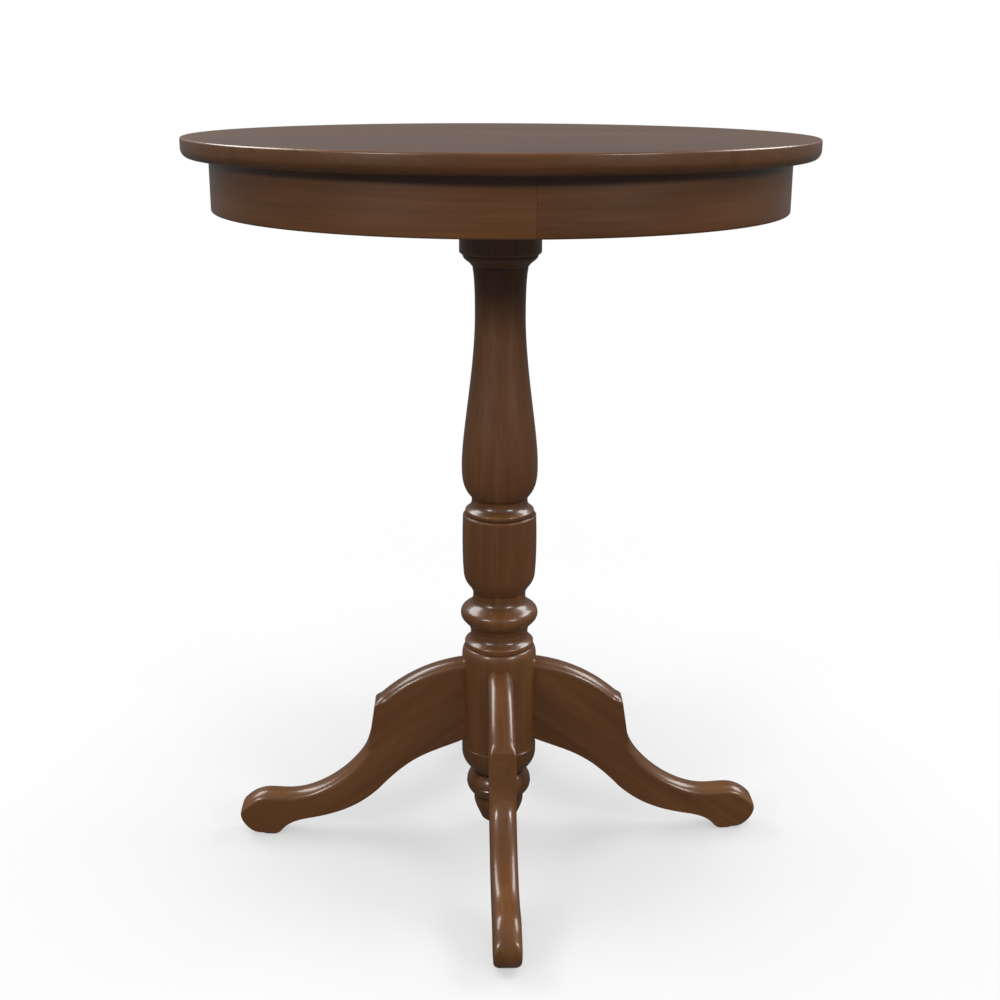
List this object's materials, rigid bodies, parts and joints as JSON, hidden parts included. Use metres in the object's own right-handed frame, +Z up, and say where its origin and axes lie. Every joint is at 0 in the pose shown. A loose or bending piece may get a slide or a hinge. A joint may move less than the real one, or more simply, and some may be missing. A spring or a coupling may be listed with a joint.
{
  "type": "round pedestal table",
  "caption": "Round wooden pedestal table: flat round top with a ring apron on a turned column that stands on S-shaped legs.",
  "frame": {"origin": "on the floor, under the middle of the column", "axes": "+Z up along the column; one leg points along each of +X, -X, +Y and -Y; -Y is the front, +X is the right as seen from the front"},
  "size_m": [0.6099, 0.61, 0.75],
  "materials": {
    "top_wood": "semi-gloss lacquer over walnut stain",
    "apron_wood": "satin lacquer over walnut stain",
    "column_wood": "semi-gloss lacquer over walnut stain",
    "leg_wood": "semi-gloss lacquer over walnut stain",
    "raw_wood": "unfinished beech",
    "zinc_steel": "zinc plated",
    "black_steel": "black powder coat",
    "glide_nylon": "moulded nylon"
  },
  "bodies": {
    "root": {"top_panel": "top_wood", "apron_front_right": "apron_wood", "apron_back_right": "apron_wood", "apron_back_left": "apron_wood", "apron_front_left": "apron_wood", "apron_dowels": "raw_wood", "rail_side_to_side": "raw_wood", "rail_front_to_back": "raw_wood", "rail_screws": "zinc_steel", "glue_block_1": "raw_wood", "glue_block_2": "raw_wood", "glue_block_3": "raw_wood", "glue_block_4": "raw_wood", "glue_block_5": "raw_wood", "glue_block_6": "raw_wood", "glue_block_7": "raw_wood", "glue_block_8": "raw_wood", "block_top_screws": "zinc_steel", "block_apron_screws": "zinc_steel", "column_plate": "black_steel", "plate_rail_screws": "zinc_steel", "plate_column_screws": "zinc_steel", "column": "column_wood", "finial": "column_wood", "finial_dowel": "raw_wood", "leg_front": "leg_wood", "leg_right": "leg_wood", "leg_back": "leg_wood", "leg_left": "leg_wood", "leg_dowels": "raw_wood", "foot_glide_front": "glide_nylon", "foot_glide_right": "glide_nylon", "foot_glide_back": "glide_nylon", "foot_glide_left": "glide_nylon", "glide_nails": "zinc_steel"}
  },
  "joints": []
}
